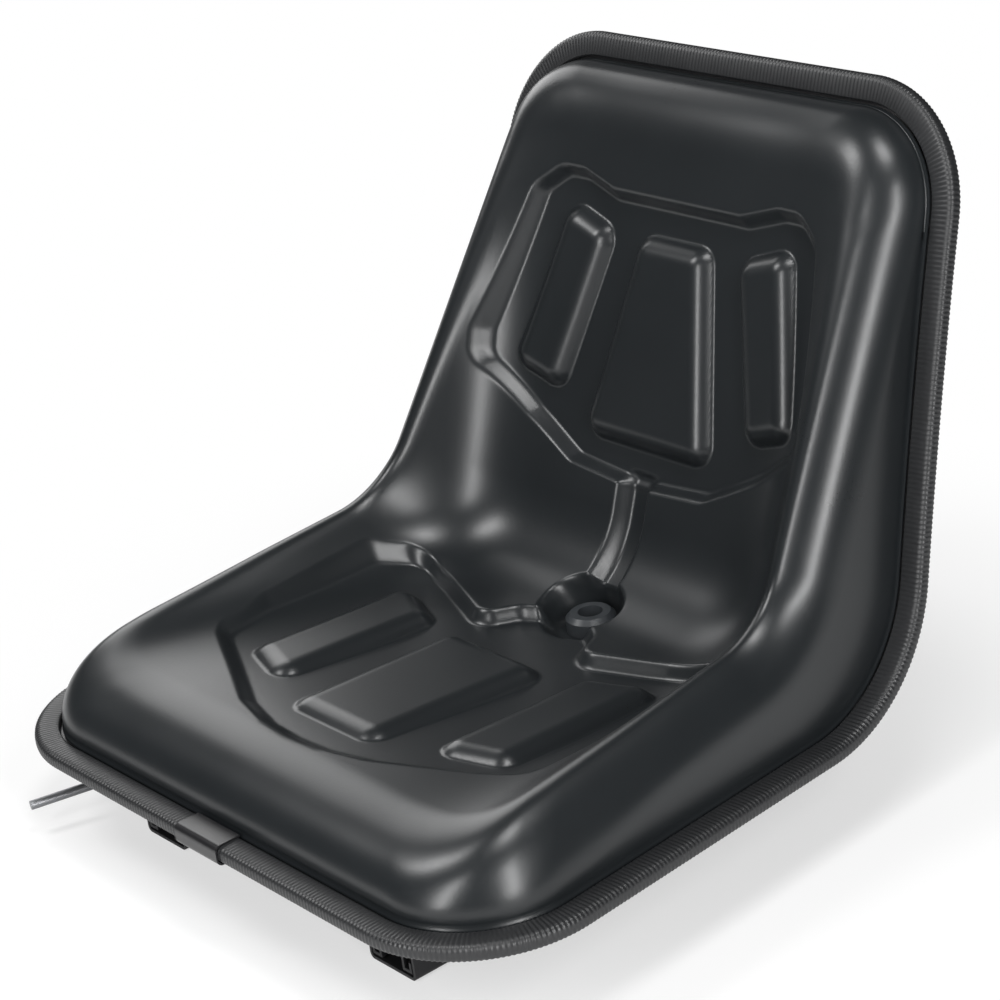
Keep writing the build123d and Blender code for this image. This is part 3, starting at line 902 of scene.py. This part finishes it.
    def pressed(self, x: Points, s: Points) -> Points:
        """How far the surface is pressed in at each point.

        Args:
            x: place across, either side.
            s: way along the sheet.

        Returns:
            The depth below the bucket's plain surface.
        """
        side = np.abs(x)
        sunk = np.zeros(x.shape)
        groups = [
            (s, self.seat_recess, self.seat_centre, self.seat_side),
            (self.sheet.length - s, self.back_recess, self.back_centre, self.back_side),
        ]
        for along, recess, centre, pad in groups:
            edge = rounded_outline(both_halves(recess), self.recess_corner)
            hollow = ease(0.5 - outline_distance(side, along, edge) / self.recess_wall)
            middle = self._pad(side, along, both_halves(centre))
            flank = self._pad(side, along, pad)
            sunk += self.recess * hollow * (1 - np.maximum(middle, flank))
        start, end = self.recess_deepens
        return sunk * (self.recess_front + (1 - self.recess_front) * ease((s - start) / (end - start)))

    def _pad(self, x: Points, along: Points, outline: Outline) -> Points:
        """How far a pad rises at each point: 0 at its foot, then rounded over to 1."""
        inside = 1.0 - outline_distance(x, along, rounded_outline(outline, self.pad_corner))
        return 1 - (1 - np.clip(inside / self.pad_round, 0.0, 1.0)) ** self.pad_crown

    def height(self, x: Points, s: Points) -> Points:
        """Height of the bucket's surface above the sheet, before its outer edge is rolled over.

        Args:
            x: place across.
            s: way along.

        Returns:
            The heights.
        """
        sheet = self.sheet
        start = self.floor_half - sheet.taper * (s - sheet.front_corner)
        reach = sheet.width / 2 - self.crest_inset - self.floor_half
        out = np.clip((np.abs(x) - start) / reach, 0.0, 1.0)
        share = sum(part * np.sin(math.pi / 2 * out**power) ** 2 for part, power in (self.gentle, self.steep))
        dish = between_entries(self.dish_table, share * (len(self.dish_table) - 1), self._column(s))
        top = soft_least(self.sunk_crest(s, np.zeros(s.shape)), dish, self.lid_blend)
        top = top - self.pressed(x, s)
        foot, head = self.channel_ends
        along = ease((s - self.drain_s + foot) / (2 * foot)) * ease((sheet.length - self.channel_top_down - s) / head)
        top = top - self.channel_depth * along * ease((self.channel_half - np.abs(x)) / self.channel_wall)
        return self._drained(x, s, top)

    def sunk_crest(self, s: Points, drop: Points) -> Points:
        """Height of the bolsters' top line when it is sunk square to itself."""
        return between_entries(self.roll_table, drop, self._column(s))

    def _column(self, s: Points) -> Points:
        """Place of s in the tables."""
        return (s - self.stations[0]) / self.station_step

    def _drained(self, x: Points, s: Points, top: Points) -> Points:
        """The surface with the level well round the drain's collar and the hole for its stem.

        Args:
            x: place across.
            s: way along.
            top: heights without the drain.

        Returns:
            The heights with it.
        """
        sheet = self.sheet
        tilt = np.interp(s, self.stations, self.tilts)
        y, z = sheet.side(s, np.zeros(s.shape))
        level = (sheet.rim_z + self.drain_floor - z) / np.cos(tilt)
        turn = (self.drain_s - sheet.seat_run) / sheet.bend_radius
        drain_y = sheet.bend_y + (sheet.bend_radius + self.pan_depth) * math.sin(turn)
        far = np.hypot(x, y - level * np.sin(tilt) - drain_y)
        well = ease((self.drain_bowl - far) / self.drain_slope)
        top = top * (1 - well) + np.minimum(top, level) * well
        hole = ease((self.drain_stem + self.drain_edge - far) / self.drain_edge)
        return top * (1 - hole) + (self.pan_gap - self.pan_depth) * hole

    def build(self) -> bpy.types.Object:
        """Makes the cushion as one closed mesh.

        Returns:
            The piece.
        """
        spots, dirs = self._outline_points()
        edge = self._patch_edge()
        top = self._top_patch(edge)
        skirt = self._skirt(spots, dirs, edge)
        under = self._underside(spots, dirs)
        pick(top)
        skirt.select_set(True)
        under.select_set(True)
        bpy.ops.object.join()
        bpy.ops.object.mode_set(mode="EDIT")
        self._select_open_edges()
        bpy.ops.mesh.remove_doubles(threshold=WELD_GAP)
        bpy.ops.mesh.select_all(action="SELECT")
        bpy.ops.mesh.normals_make_consistent(inside=False)
        self._select_open_edges()
        bpy.ops.mesh.bridge_edge_loops()
        bpy.ops.object.mode_set(mode="OBJECT")
        outward(top)
        bpy.ops.object.shade_smooth()
        top.name = "cushion_skin"
        return top

    @staticmethod
    def _select_open_edges() -> None:
        """Selects the edges that have one face, and nothing else."""
        bpy.ops.mesh.select_mode(type="EDGE")
        bpy.ops.mesh.select_all(action="DESELECT")
        bpy.ops.mesh.select_non_manifold(
            extend=False, use_wire=False, use_boundary=True, use_multi_face=False, use_non_contiguous=False, use_verts=False
        )

    def _outline_points(self) -> tuple[Points, Points]:
        """The rim's outline from the front left corner on, counter-clockwise, a point for each edge point of the patch.

        Returns:
            Points on the outline and the inward directions there.
        """
        near, far = self.sheet.corner_shares()
        ends = (-near, near, far, 1 - far, 1 - near)
        counts = (self.columns, self.rows, self.columns, self.rows)
        runs = zip(ends, ends[1:], counts)
        shares = np.concatenate([np.linspace(start, end, count, endpoint=False) for start, end, count in runs])
        return self.sheet.outline_at(np.mod(shares, 1.0))

    def _patch_edge(self) -> Points:
        """Edge of the bucket's inner patch, in the outline's order, as x and s."""
        low = self.skirt_inset + self.roll_front
        high = self.sheet.length - self.skirt_inset - self.roll_top
        inset = self.skirt_inset + self.roll_side
        wide, narrow = (float(self.sheet.half_width(np.array(s))) - inset for s in (low, high))
        steps = self.patch_steps
        loop = rounded_outline(((-wide, low), (wide, low), (narrow, high), (-narrow, high)), self.patch_corner, steps)
        loop = np.vstack([loop, loop[:steps]])
        runs = []
        for place, count in enumerate((self.columns, self.rows, self.columns, self.rows)):
            first = place * steps + steps // 2
            run = loop[first : first + steps + 1]
            way = np.concatenate([[0.0], np.cumsum(np.hypot(*np.diff(run, axis=0).T))])
            spots = np.linspace(0.0, way[-1], count, endpoint=False)
            runs.append(np.stack([np.interp(spots, way, run[:, k]) for k in (0, 1)], axis=-1))
        return np.vstack(runs)

    def _at_front(self, s: Points) -> Points:
        """1 along the front edge, easing to 0 along the sides."""
        start, end = self.roll_front_s
        return ease((end - s) / (end - start))

    def _top_patch(self, edge: Points) -> bpy.types.Object:
        """The bucket's inner surface, spanned between the four runs of its edge.

        Args:
            edge: points of the edge, as x and s.

        Returns:
            The open patch.
        """
        made, across, along = grid_piece("cushion_top", self.columns, self.rows)
        flat = spanned(edge, self.columns, self.rows)[along, across]
        x, s = flat[:, 0], flat[:, 1]
        set_vertices(made, self.lift(x, s, self.height(x, s)))
        return made

    def _skirt(self, spots: Points, dirs: Points, edge: Points) -> bpy.types.Object:
        """The roll over the crest, the wall below it, the lip at the rim and the part down in the pan.

        Args:
            spots: points of the rim's outline.
            dirs: inward directions there.
            edge: points of the inner patch's edge.

        Returns:
            The open band, with a seam that is merged later.
        """
        lip = (*self.lip, (self.pan_inset - 0.1, self.lip[-1][1]))
        bends = np.linspace(0.0, math.pi / 2, 7)
        sink = self.pan_depth - self.pan_round
        down = [
            (self.pan_inset + self.pan_round * (1 - math.cos(a)), -sink - self.pan_round * math.sin(a)) for a in bends
        ]
        rows = self._roll_rows(spots + dirs * self.skirt_inset, edge)
        foot = rows[-1][2]
        for share in (0.25, 0.5, 0.75, 0.92):
            rows.append(self._row(spots, dirs, self.skirt_inset + 0.1 * share, foot + (lip[0][1] - foot) * share))
        places = (*lip, (self.pan_inset, -2.0), *down)
        lower = [self._row(spots, dirs, inset, np.full(len(spots), h)) for inset, h in places]
        made, around, row = grid_piece("cushion_skirt", len(spots), len(rows) + len(lower) - 1)
        closed = np.array([self.lift(*r) for r in rows] + [self.sheet.lift(*r) for r in lower])
        set_vertices(made, closed[row, np.mod(around, len(spots))])
        return made

    def _roll_rows(self, wall: Points, edge: Points) -> list[tuple[Points, Points, Points]]:
        """Rows of the roll, from the patch's edge over to the wall.

        Args:
            wall: points at the top of the wall, as x and s.
            edge: points of the inner patch's edge.

        Returns:
            Place across, way along and height of each row.
        """
        front = self._at_front(wall[:, 1])
        drop = self.roll_drop * (1 - front) + (self.height(*wall.T) - self.front_foot) * front
        rows = []
        for swing in np.linspace(0.0, math.pi / 2, self.roll_steps):
            x, s = (edge + (wall - edge) * math.sin(swing)).T
            sunk = self.sunk_crest(s, drop * (1 - math.cos(swing))) - self.sunk_crest(s, np.zeros(s.shape))
            rows.append((x, s, self.height(x, s) + sunk))
        return rows

    @staticmethod
    def _row(spots: Points, dirs: Points, inset: float, h: Points) -> tuple[Points, Points, Points]:
        """One row at a given inset and height."""
        x, s = (spots + dirs * inset).T
        return x, s, h

    def _underside(self, spots: Points, dirs: Points) -> bpy.types.Object:
        """The bottom that lies on the pan's floor, with few faces and room for the pan's nuts.

        Args:
            spots: points of the rim's outline.
            dirs: inward directions there.

        Returns:
            The open patch.
        """
        columns, rows = self.columns // self.coarse, self.rows // self.coarse
        made, across, along = grid_piece("cushion_under", columns, rows)
        edge = (spots + dirs * self.under_inset)[:: self.coarse]
        flat = spanned(edge, columns, rows)[along, across]
        h = np.full(len(flat), -self.pan_depth)
        for x, s in self.nut_places:
            far = np.hypot(np.abs(flat[:, 0]) - x, flat[:, 1] - s)
            h += self.nut_room * ease((self.nut_reach - far) / self.nut_slope)
        set_vertices(made, self.sheet.lift(flat[:, 0], flat[:, 1], h))
        return made

    def install(self) -> None:
        """Builds the cushion, dresses it and puts it in place of its CAD solid."""
        made = self.build()
        dress(made, self.finish.material(), Slot.VINYL, Body.SEAT)
        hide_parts("seat_cushion")


def both_halves(points: Outline) -> Outline:
    """Closed outline from its right half."""
    return (*points, *[(-x, v) for x, v in reversed(points) if x > 0])


def spanned(edge: Points, columns: int, rows: int) -> Points:
    """Grid of points spanned between the four runs of a closed edge.

    Args:
        edge: the edge's points, starting at a corner: columns steps, rows steps, columns steps back, rows steps back.
        columns: steps along the first run.
        rows: steps along the second.

    Returns:
        An array by row and column.
    """
    loop = np.vstack([edge, edge[:1]])
    front = loop[: columns + 1]
    right = loop[columns : columns + rows + 1]
    top = loop[columns + rows : 2 * columns + rows + 1][::-1]
    left = loop[2 * columns + rows :][::-1]
    u = run_shares(front, top)[None, :, None]
    v = run_shares(left, right)[:, None, None]
    sides = (1 - v) * front[None] + v * top[None] + (1 - u) * left[:, None] + u * right[:, None]
    corners = (1 - u) * (1 - v) * front[0] + u * (1 - v) * front[-1] + (1 - u) * v * top[0] + u * v * top[-1]
    return sides - corners


def run_shares(first: Points, second: Points) -> Points:
    """Share of the way along two facing runs, their mean."""
    shares = []
    for run in (first, second):
        way = np.concatenate([[0.0], np.cumsum(np.hypot(*np.diff(run, axis=0).T))])
        shares.append(way / way[-1])
    return (shares[0] + shares[1]) / 2


@dataclass
class EdgeTrim:
    """The ribbed strip pushed over the pan's flange, all the way round."""

    sheet: RimSheet
    finish: Plastic = Plastic("trim_pvc", (0.014, 0.0145, 0.0155), 0.40)
    rib_pitch: float = 2.9
    wave: tuple[float, ...] = (0.0, 0.0, 1.0, 1.0)
    groove: float = 0.32
    smooth_deg: float = 32.0

    def section(self) -> tuple[list[tuple[float, float]], list[float]]:
        """The strip's section as inset and height, once round, and how much of the groove each point takes.

        Returns:
            The section's points and their shares of the groove.
        """
        outer = [
            (13.0, 0.5), (13.0, 2.8), (12.3, 4.0), (11.0, 4.4), (6.0, 4.5), (1.0, 4.4), (-1.6, 3.7), (-2.9, 2.4), (-3.3, 0.6),
            (-3.3, -2.1), (-2.9, -3.9), (-1.6, -5.2), (1.0, -5.8), (6.0, -5.8), (11.0, -5.8), (12.4, -5.2), (13.0, -4.0),
            (13.0, -2.0),
        ]
        inner = [(7.0, -1.8), (0.2, -1.8), (-0.3, -1.2), (-0.3, -0.3), (0.2, 0.3), (7.0, 0.3)]
        taken = [0.0, 0.2, 0.6, 0.8, 1.0, 1.0, 1.0, 1.0, 1.0, 1.0, 1.0, 1.0, 1.0, 1.0, 0.6, 0.3, 0.2, 0.0]
        return outer + inner, taken + [0.0] * len(inner)

    def build(self) -> bpy.types.Object:
        """Makes the strip from a grid closed both ways.

        Returns:
            The piece.
        """
        section, taken = self.section()
        steps = round(self.sheet.outline_length() / self.rib_pitch) * len(self.wave)
        made, around, place = grid_piece("edge_trim_ribbed", steps, len(section))
        around, place = around % steps, place % len(section)
        spots, dirs = self.sheet.outline_at(np.arange(steps) / steps)
        sunk = np.array(self.wave)[np.arange(steps) % len(self.wave)]
        points, share = np.array(section), np.array(taken)
        middle = np.array([5.0, -0.7])
        pull = (middle - points) / np.linalg.norm(middle - points, axis=1, keepdims=True)
        depth = self.groove * sunk[around] * share[place]
        d = points[place, 0] + pull[place, 0] * depth
        h = points[place, 1] + pull[place, 1] * depth
        x, s = (spots[around] + dirs[around] * d[:, None]).T
        set_vertices(made, self.sheet.lift(x, s, h))
        pick(made)
        bpy.ops.object.mode_set(mode="EDIT")
        bpy.ops.mesh.select_all(action="SELECT")
        bpy.ops.mesh.remove_doubles(threshold=WELD_GAP)
        outward(made)
        bpy.ops.object.shade_smooth_by_angle(angle=math.radians(self.smooth_deg))
        return made

    def install(self) -> None:
        """Builds the strip, dresses it and puts it in place of its CAD solid."""
        made = self.build()
        dress(made, self.finish.material(), Slot.TRIM, Body.SEAT)
        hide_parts("edge_trim")


@dataclass
class Fittings:
    """The CAD pieces that are shown as they are, each with its finish."""

    pan: SatinPaint = SatinPaint("pan_paint", (0.012, 0.012, 0.013))
    rail: SatinPaint = SatinPaint("rail_paint", (0.010, 0.010, 0.011), 0.34)
    sleeve: Plastic = Plastic("sleeve_plastic", (0.010, 0.010, 0.011), 0.30)
    bush: Plastic = Plastic("bush_plastic", (0.024, 0.027, 0.030), 0.36)
    nylon: Plastic = Plastic("glide_nylon", (0.60, 0.57, 0.48), 0.45)
    zinc: Plated = Plated("zinc_plate", (0.26, 0.265, 0.275), 0.44)
    wire: Plated = Plated("spring_wire", (0.34, 0.34, 0.35), 0.40)

    def install(self) -> None:
        """Dresses each CAD node that no new piece stands for."""
        finishes = {slot: made.material() for slot, made in (
            (Slot.PAN, self.pan), (Slot.RAIL, self.rail), (Slot.SLEEVE, self.sleeve), (Slot.BUSH, self.bush),
            (Slot.GLIDE, self.nylon), (Slot.ZINC, self.zinc), (Slot.SPRING, self.wire))}
        slots = {part["node"]: Slot(part["material_slot"]) for part in frame["record"]["subparts"]}
        for name, node in frame["nodes"].items():
            if not node.hide_render:
                dress(node, finishes[slots[name]], slots[name])


@dataclass
class Studio:
    """Floor, light and camera."""

    azimuth: float = 53.37
    elevation: float = 23.0
    roll: float = 8.13
    origin_px: tuple[float, float] = (458.04, 806.09)
    distance: float = 1769.4
    focal_px: float = 2874.5
    frame_px: float = 1000.0
    shadow_reach: tuple[float, float] = (0.25, 0.62)
    surround: float = 0.05
    aim: tuple[float, float, float] = (0.0, 0.05, 0.18)

    def axes(self) -> tuple[Vector, Vector, Vector]:
        """The camera's right, down and forward directions."""
        az, el, roll = (math.radians(v) for v in (self.azimuth, self.elevation, self.roll))
        ahead = Vector((-math.sin(az) * math.cos(el), math.cos(az) * math.cos(el), -math.sin(el)))
        right = Vector((math.cos(az), math.sin(az), 0.0))
        down = ahead.cross(right)
        return right * math.cos(roll) + down * math.sin(roll), down * math.cos(roll) - right * math.sin(roll), ahead

    def camera(self) -> None:
        """Makes the camera at the photograph's angle."""
        right, down, ahead = self.axes()
        half = self.frame_px / 2
        shift = [(v - half) / self.focal_px * self.distance for v in self.origin_px]
        spot = -(right * shift[0] + down * shift[1] + ahead * self.distance) * MM
        lens = bpy.data.cameras.new("camera")
        lens.sensor_width = 36.0
        lens.lens = self.focal_px / self.frame_px * lens.sensor_width
        lens.clip_end = 50.0
        made = bpy.data.objects.new("camera", lens)
        bpy.context.scene.collection.objects.link(made)
        turn = Matrix((right, -down, -ahead)).transposed()
        made.matrix_world = Matrix.Translation(spot) @ turn.to_4x4()
        bpy.context.scene.camera = made

    def softbox(self, name: str, spot: Vector, size: tuple[float, float], watts: float) -> None:
        """Adds one soft lamp aimed at the seat.

        Args:
            name: the lamp's name.
            spot: its place, in metres.
            size: its width and height, in metres.
            watts: its power.
        """
        lamp = bpy.data.lights.new(name, "AREA")
        lamp.shape = "RECTANGLE"
        lamp.size, lamp.size_y = size
        lamp.energy = watts
        made = bpy.data.objects.new(name, lamp)
        bpy.context.scene.collection.objects.link(made)
        made.location = spot
        made.rotation_euler = (Vector(self.aim) - spot).to_track_quat("-Z", "Y").to_euler()

    def lights(self) -> None:
        """Adds the lamps and the white surround."""
        self.softbox("front_tall", Vector((0.45, -1.75, 0.95)), (0.30, 1.5), 26.0)
        self.softbox("side_tall", Vector((1.75, -0.35, 0.90)), (0.30, 1.5), 28.0)
        self.softbox("top_left", Vector((-0.82, -0.74, 1.64)), (0.40, 0.60), 13.0)
        self.softbox("top_right", Vector((0.42, 0.05, 1.95)), (0.40, 0.60), 13.0)
        self.softbox("left_rim", Vector((-1.6, 0.5, 1.0)), (0.8, 1.2), 9.0)
        world = bpy.data.worlds.new("surround")
        bpy.context.scene.world = world
        book = NodeBook(world)
        rays = book.node("ShaderNodeLightPath")
        shown = rays.out("Is Camera Ray").most(rays.out("Is Transmission Ray"))
        level = self.surround + (1 - self.surround) * shown
        light = book.node("ShaderNodeBackground", None, {"Color": (1.0, 1.0, 1.0, 1.0), "Strength": level}).out("Background")
        book.node("ShaderNodeOutputWorld", None, {"Surface": light})

    def floor(self) -> None:
        """Makes the pale floor, which keeps the seat's shadow and fades to white round it."""
        deselect()
        bpy.ops.mesh.primitive_plane_add(size=40.0, location=(0.0, 0.0, -0.0006))
        made = bpy.context.object
        made.name = "studio_floor"
        finish = bpy.data.materials.new("studio_floor")
        book = NodeBook(finish)
        rays = book.node("ShaderNodeLightPath")
        far = book.node("ShaderNodeVectorMath", {"operation": "LENGTH"}, {0: book.objects()}).out("Value")
        reach = {"Value": far, "From Min": self.shadow_reach[0], "From Max": self.shadow_reach[1]}
        fade = book.node("ShaderNodeMapRange", {"interpolation_type": "SMOOTHSTEP"}, reach).out("Result")
        matt = book.node("ShaderNodeBsdfDiffuse", None, {"Color": (0.86, 0.86, 0.86, 1.0)}).out("BSDF")
        white = book.node("ShaderNodeEmission", None, {"Color": (1.0, 1.0, 1.0, 1.0), "Strength": 1.0}).out("Emission")
        share = rays.out("Is Camera Ray") * (0.55 + 0.45 * fade)
        both = book.node("ShaderNodeMixShader", None, {0: share, 1: matt, 2: white}).out("Shader")
        book.node("ShaderNodeOutputMaterial", None, {"Surface": both})
        made.data.materials.append(finish)

    def install(self) -> None:
        """Sets up the whole studio."""
        bpy.context.scene.view_settings.view_transform = "Standard"
        self.camera()
        self.lights()
        self.floor()


def main() -> None:
    """Builds the seat's pieces in order, then the studio."""
    logging.basicConfig(level=logging.INFO, format="%(message)s")
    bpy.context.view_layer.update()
    sheet = RimSheet()
    Cushion(sheet).install()
    EdgeTrim(sheet).install()
    Fittings().install()
    Studio().install()


if __name__ == "__main__":
    main()
